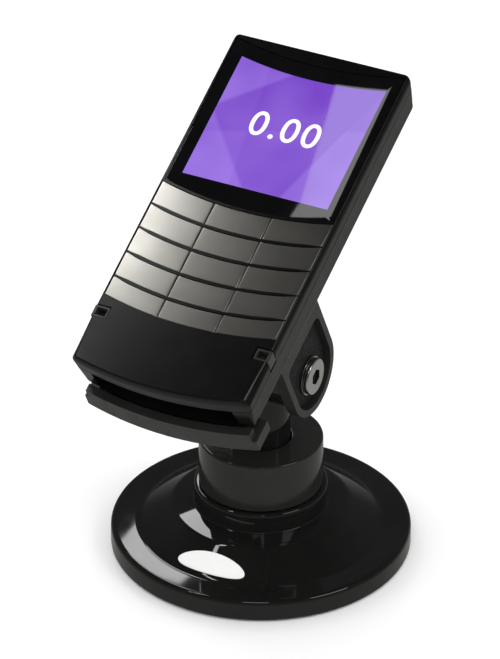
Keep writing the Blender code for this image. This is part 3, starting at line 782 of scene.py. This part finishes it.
def terminal_line(inset, chin_step):
    """The terminal's outline from the front, as (across, down) points.

    The right side runs from the top end's corner to the middle of the curved lower end,
    and the left side mirrors it.
    """
    half = HALF_WIDTH - inset
    chin = half - chin_step
    corner = max(CORNER - inset, LEAST_CORNER)
    end = END_MIDDLE - inset
    right = [(s, inset + corner - t)
             for s, t in arc((half - corner, 0.0), corner, 90.0, 0.0, CORNER_POINTS)]
    side_steps = 12
    start = corner + inset
    right += [(half, start + (CHIN_TOP - start) * i / side_steps)
              for i in range(1, side_steps + 1)]
    reach = SMILE_RADIUS - corner
    across = chin - corner
    fillet = (across, end - SMILE_RADIUS + math.sqrt(reach ** 2 - across ** 2))
    sweep = 90.0 - math.degrees(math.asin(across / reach))
    right += [(half + (chin - half) * t, CHIN_TOP + (fillet[1] - CHIN_TOP) * t)
              for t in (0.25, 0.5, 0.75)]
    right += arc(fillet, corner, 0.0, sweep, CORNER_POINTS)
    right += smile_line(across - 2.0, 0.0, end, count=16)
    left = [(-s, d) for s, d in reversed(right[1:-1])]
    return right + left + [(-right[0][0], right[0][1])]


def shell(name, levels):
    """A body with the terminal's outline; a level is its depth, inset and chin step."""
    return loft(name, [[spot(s, d, deep) for s, d in terminal_line(inset, step)]
                       for deep, inset, step in levels], TILTED)


def key_rows():
    """Each row's number, top and end."""
    top = KEYPAD_TOP
    spare = (RIDGE - RIDGE_SHOWN) / 2
    for row in range(KEY_ROWS):
        last = row == KEY_ROWS - 1
        height = LAST_ROW if last else ROW_PITCH
        yield row, top - (spare if row else 0.0), top + height - RIDGE + (0.0 if last else spare)
        top += height


def ridge_ease(across):
    """How much a ridge thins on each side towards the keypad's long edges."""
    full, fade = 32.0, 5.5
    share = min(max((abs(across) - full) / fade, 0.0), 1.0)
    return share * share * (3 - 2 * share) * (RIDGE_SHOWN - THIN_RIDGE) / 2


def row_line(start, end, row, top, low, inset):
    """An outline between two smiles; rows reach closer together at their outer ends."""
    spacing, fewest = 1.3, 8
    count = max(int(abs(end - start) / spacing), fewest)
    upper = [(s, d + inset - (ridge_ease(s) if row > 0 else 0.0))
             for s, d in smile_line(start + inset, end - inset, top, count)]
    lower = [(s, d - inset + (ridge_ease(s) if row < KEY_ROWS - 1 else 0.0))
             for s, d in smile_line(end - inset, start + inset, low, count)]
    return upper + lower


def make_front():
    """The front housing: a rolled edge round the face, with the openings cut through."""
    roll_deep, face_inset, roll_inset = 3.4, 0.36, 1.24
    levels = [(SPLIT, TAPER * SPLIT, 0.0)]
    roll_steps = 10
    for i in range(roll_steps + 1):
        a = math.radians(90 * i / roll_steps)
        deep = roll_deep * (1 - math.sin(a))
        levels.append((deep, face_inset + roll_inset * (1 - math.cos(a)),
                       CHIN_STEP * (1 - deep / roll_deep)))
    front = shell("front_shell", levels)
    cavity = shell("cavity", [(SPLIT + 2.0, 3.0, CHIN_STEP), (2.4, 2.3, CHIN_STEP)])

    half, top, end = GLASS
    gap, through = 0.1, 5.0
    pocket = smile_line(-half - gap, half + gap, top - gap, CURVE_POINTS)
    pocket += smile_line(half + gap, -half - gap, end + gap, CURVE_POINTS)
    window = [(-33.7, 10.4), (33.7, 10.4), (33.7, 71.8), (-33.7, 71.8)]
    tools = [cavity, slab("glass_pocket", pocket, ABOVE_FACE, 1.6),
             slab("window", window, ABOVE_FACE, through)]
    for row, row_top, row_end in key_rows():
        opening = row_line(-KEYPAD_HALF, KEYPAD_HALF, row, row_top, row_end, 0.0)
        tools.append(slab("key_opening", opening, ABOVE_FACE, through))
    for sign in (-1.0, 1.0):
        across = sorted((sign * 33.1, sign * 45.3))
        tools.append(brick("socket_notch", across, (140.6, 146.6), (-1.0, 9.0)))
    carve(front, tools)
    finish_piece(front, "cradle", ["front_housing"],
                 ["face_black", "painted_lighter_side"], sharp=28)
    # Painted light: the sides take the lighter copy of the black plastic, for the grey the light
    # gives them.
    side = HALF_WIDTH - 1.8
    paint_faces(front, lambda face: abs(face.normal.x) > 0.8 and abs(face.center.x) > side * MM)


def make_rear():
    """The rear housing: the card mouth, the data socket, screw holes and vents."""
    roll_start, roll_deep = 18.6, 4.2
    roll_inset, roll_narrow = 2.4, 2.0
    levels = [(SPLIT + 0.3, TAPER * SPLIT, 0.0), (14.0, 1.75, 0.0),
              (roll_start, roll_inset, 0.0)]
    roll_steps = 7
    for i in range(1, roll_steps + 1):
        a = math.radians(90 * i / roll_steps)
        levels.append((roll_start + roll_deep * math.sin(a),
                       roll_inset + roll_narrow * (1 - math.cos(a)), 0.0))
    rear = shell("rear_shell", levels[::-1])
    cavity = [(THICK - 2.0, 5.0, CHIN_STEP), (SPLIT - 2.0, 3.0, CHIN_STEP)]
    carve(rear, [shell("rear_cavity", cavity)])
    wall = [(-35.5, 157.0), (35.5, 157.0)] + smile_line(35.5, -35.5, 167.5, count=25)
    carve(rear, [slab("mouth_wall", wall, SPLIT + 0.3, THICK - 1.0)], "UNION")

    mouth = [(-32.0, 180.0), (-32.0, 165.0), (-29.5, 160.0), (29.5, 160.0), (32.0, 165.0),
             (32.0, 180.0)]
    mouth = rounded(mouth, [0, 2, 3, 3, 2, 0], closed=True)
    tools = [slab("mouth", mouth, SPLIT - 1.0, 21.4),
             brick("card_slot", (-28.0, 28.0), (150.0, 170.0), (11.6, 14.2)),
             brick("data_opening", (-8.8, 8.8), (22.2, 35.8), (15.0, 30.0))]
    counterbore, clearance, hole_steps = 2.3, 1.5, 28
    back, seat, inside = FACE_HEIGHT - 30.0, FACE_HEIGHT - 19.8, FACE_HEIGHT - 4.0
    hole = [(0, back), (counterbore, back), (counterbore, seat),
            (clearance, seat), (clearance, inside), (0, inside)]
    for across in (-34.0, 34.0):
        for down in (5.6, 152.0):
            place = TILTED @ Matrix.Translation((across, TOP_END - down, 0))
            tools.append(revolve("screw_hole", hole, hole_steps, place))
    vents, vent_pitch = 6, 3.4
    for i in range(vents):
        down = (44.0 + vent_pitch * i, 45.2 + vent_pitch * i)
        tools.append(brick("vent", (-21.0, 21.0), down, (21.9, 24.0)))
    carve(rear, tools)
    # Painted light: the whole rear housing takes the same lighter copy of the black plastic.
    finish_piece(rear, "cradle", ["rear_housing"], ["painted_lighter_side"], sharp=28)


def make_glass():
    """The display's cover: a black border round the lit picture, in one sheet."""
    half, top, end = GLASS
    s_low, s_high, s_top, s_end = SCREEN
    count = 33
    underside, top_deep = 1.3, 0.1
    bm = bmesh.new()
    uv = bm.loops.layers.uv.new("face")

    def ring(outline, deep):
        return [bm.verts.new(spot(s, d, deep)) for s, d in outline]

    def outer(inset):
        return (smile_line(-half + inset, half - inset, top + inset, count)
                + smile_line(half - inset, -half + inset, end - inset, count))

    picture = smile_line(s_low, s_high, s_top, count)
    picture += [(s_high + (s_low - s_high) * i / (count - 1), s_end) for i in range(count)]
    rings = [ring(outer(0.0), underside), ring(outer(0.0), 0.45), ring(outer(0.06), 0.24),
             ring(outer(0.2), 0.13), ring(outer(0.4), top_deep), ring(picture, top_deep)]
    for one, two in zip(rings, rings[1:]):
        join_rings(bm, one, two)
    bm.faces.new(rings[0][::-1])
    lit = bm.faces.new(rings[-1])
    lit.material_index = 1
    for loop, (s, d) in zip(lit.loops, picture):
        loop[uv].uv = (s / DECIMETRE, d / DECIMETRE)
    piece = solid("display_cover", bm, TILTED)
    indices = [face.material_index for face in piece.data.polygons]
    finish_piece(piece, "cradle", ["display_lens"], ["glass", "screen"], sharp=20)
    for face, index in zip(piece.data.polygons, indices):
        face.material_index = index


def make_digits():
    """A plain amount on the display, in thin raised figures."""
    text = bpy.data.curves.new("amount", "FONT")
    text.body = "0.00"
    text.size = 17.0
    text.space_character = 1.12
    text.align_x, text.align_y = "CENTER", "CENTER"
    text.extrude = 0.03
    text.offset = 0.12
    text.resolution_u = 6
    holder = link_object("amount", text)
    bpy.context.view_layer.update()
    graph = bpy.context.evaluated_depsgraph_get()
    mesh = bpy.data.meshes.new_from_object(holder.evaluated_get(graph))
    bpy.data.objects.remove(holder)
    mesh.transform(TILTED @ Matrix.Translation(spot(0.5, 41.0, 0.08)))
    piece = link_object("display_digits", mesh)
    finish_piece(piece, "cradle", ["display_lens"], ["digits"])


def make_keys():
    """The caps, each with a rolled edge given as pairs of depth and inset."""
    third = 2 * KEYPAD_HALF / KEY_COLUMNS
    side_gap, ridge_gap = 0.25, 0.15
    rolled = ((3.1, 0.0), (0.46, 0.0), (0.31, 0.03), (0.19, 0.10), (0.12, 0.20), (0.10, 0.33))
    for row, top, low in key_rows():
        for column in range(KEY_COLUMNS):
            start = -KEYPAD_HALF + third * column + side_gap
            end = -KEYPAD_HALF + third * (column + 1) - side_gap
            sections = []
            for deep, inset in rolled:
                outline = row_line(start, end, row, top + ridge_gap, low - ridge_gap, inset)
                sections.append([spot(s, d, deep) for s, d in outline])
            place = f"row{row + 1}_col{column + 1}"
            key = loft(f"cap_{place}", sections, TILTED, even_ends=True)
            name = f"key_{place}"
            finish_piece(key, name, [name], ["key_metal"], sharp=50)


def make_sockets():
    for side, sign in (("left", -1.0), ("right", 1.0)):
        across = sorted((sign * 33.4, sign * 40.3))
        cup = brick(f"socket_cup_{side}", across, (140.9, 146.3), (0.4, 6.4))
        well = sorted((sign * 34.4, sign * 38.9))
        carve(cup, [brick("well", well, (141.9, 145.3), (-1.0, 5.2))])
        soften(cup, 0.25, segments=2)
        finish_piece(cup, "cradle", [f"shield_socket_{side}"], ["satin_grey"])


# ------------------------------------------------------------------ carried-over nodes

# The finish of each carried-over node, by how its name starts.
CARRIED = {
    "base_weight": "steel",
    "bearing_plate": "steel",
    "spring_washer": "steel",
    "thrust_washer": "white_acetal",
    "friction_washer": "white_acetal",
    "base_screw": "zinc_screw",
    "collar_screw": "zinc_screw",
    "housing_screw": "zinc_screw",
    "yoke_screw": "zinc_screw",
    "buzzer": "connector",
    "card_reader": "connector",
    "data_port": "connector",
    "contactless_antenna": "circuit_board",
    "main_board": "circuit_board",
    "keypad_board": "circuit_board",
    "keypad_membrane": "rubber",
    "mounting_pad": "rubber",
    "display_panel": "glass",
}


def paint_carried():
    for name, node in frame["nodes"].items():
        for start, finish in CARRIED.items():
            if name.startswith(start):
                node.data.materials.clear()
                node.data.materials.append(FINISH[finish])


make_camera()
make_world()
make_floor()
make_base()
make_badge()
make_collar()
make_stem()
make_yoke()
make_cradle()
make_bolt()
make_front()
make_rear()
make_glass()
make_digits()
make_keys()
make_sockets()
paint_carried()
make_lamps()
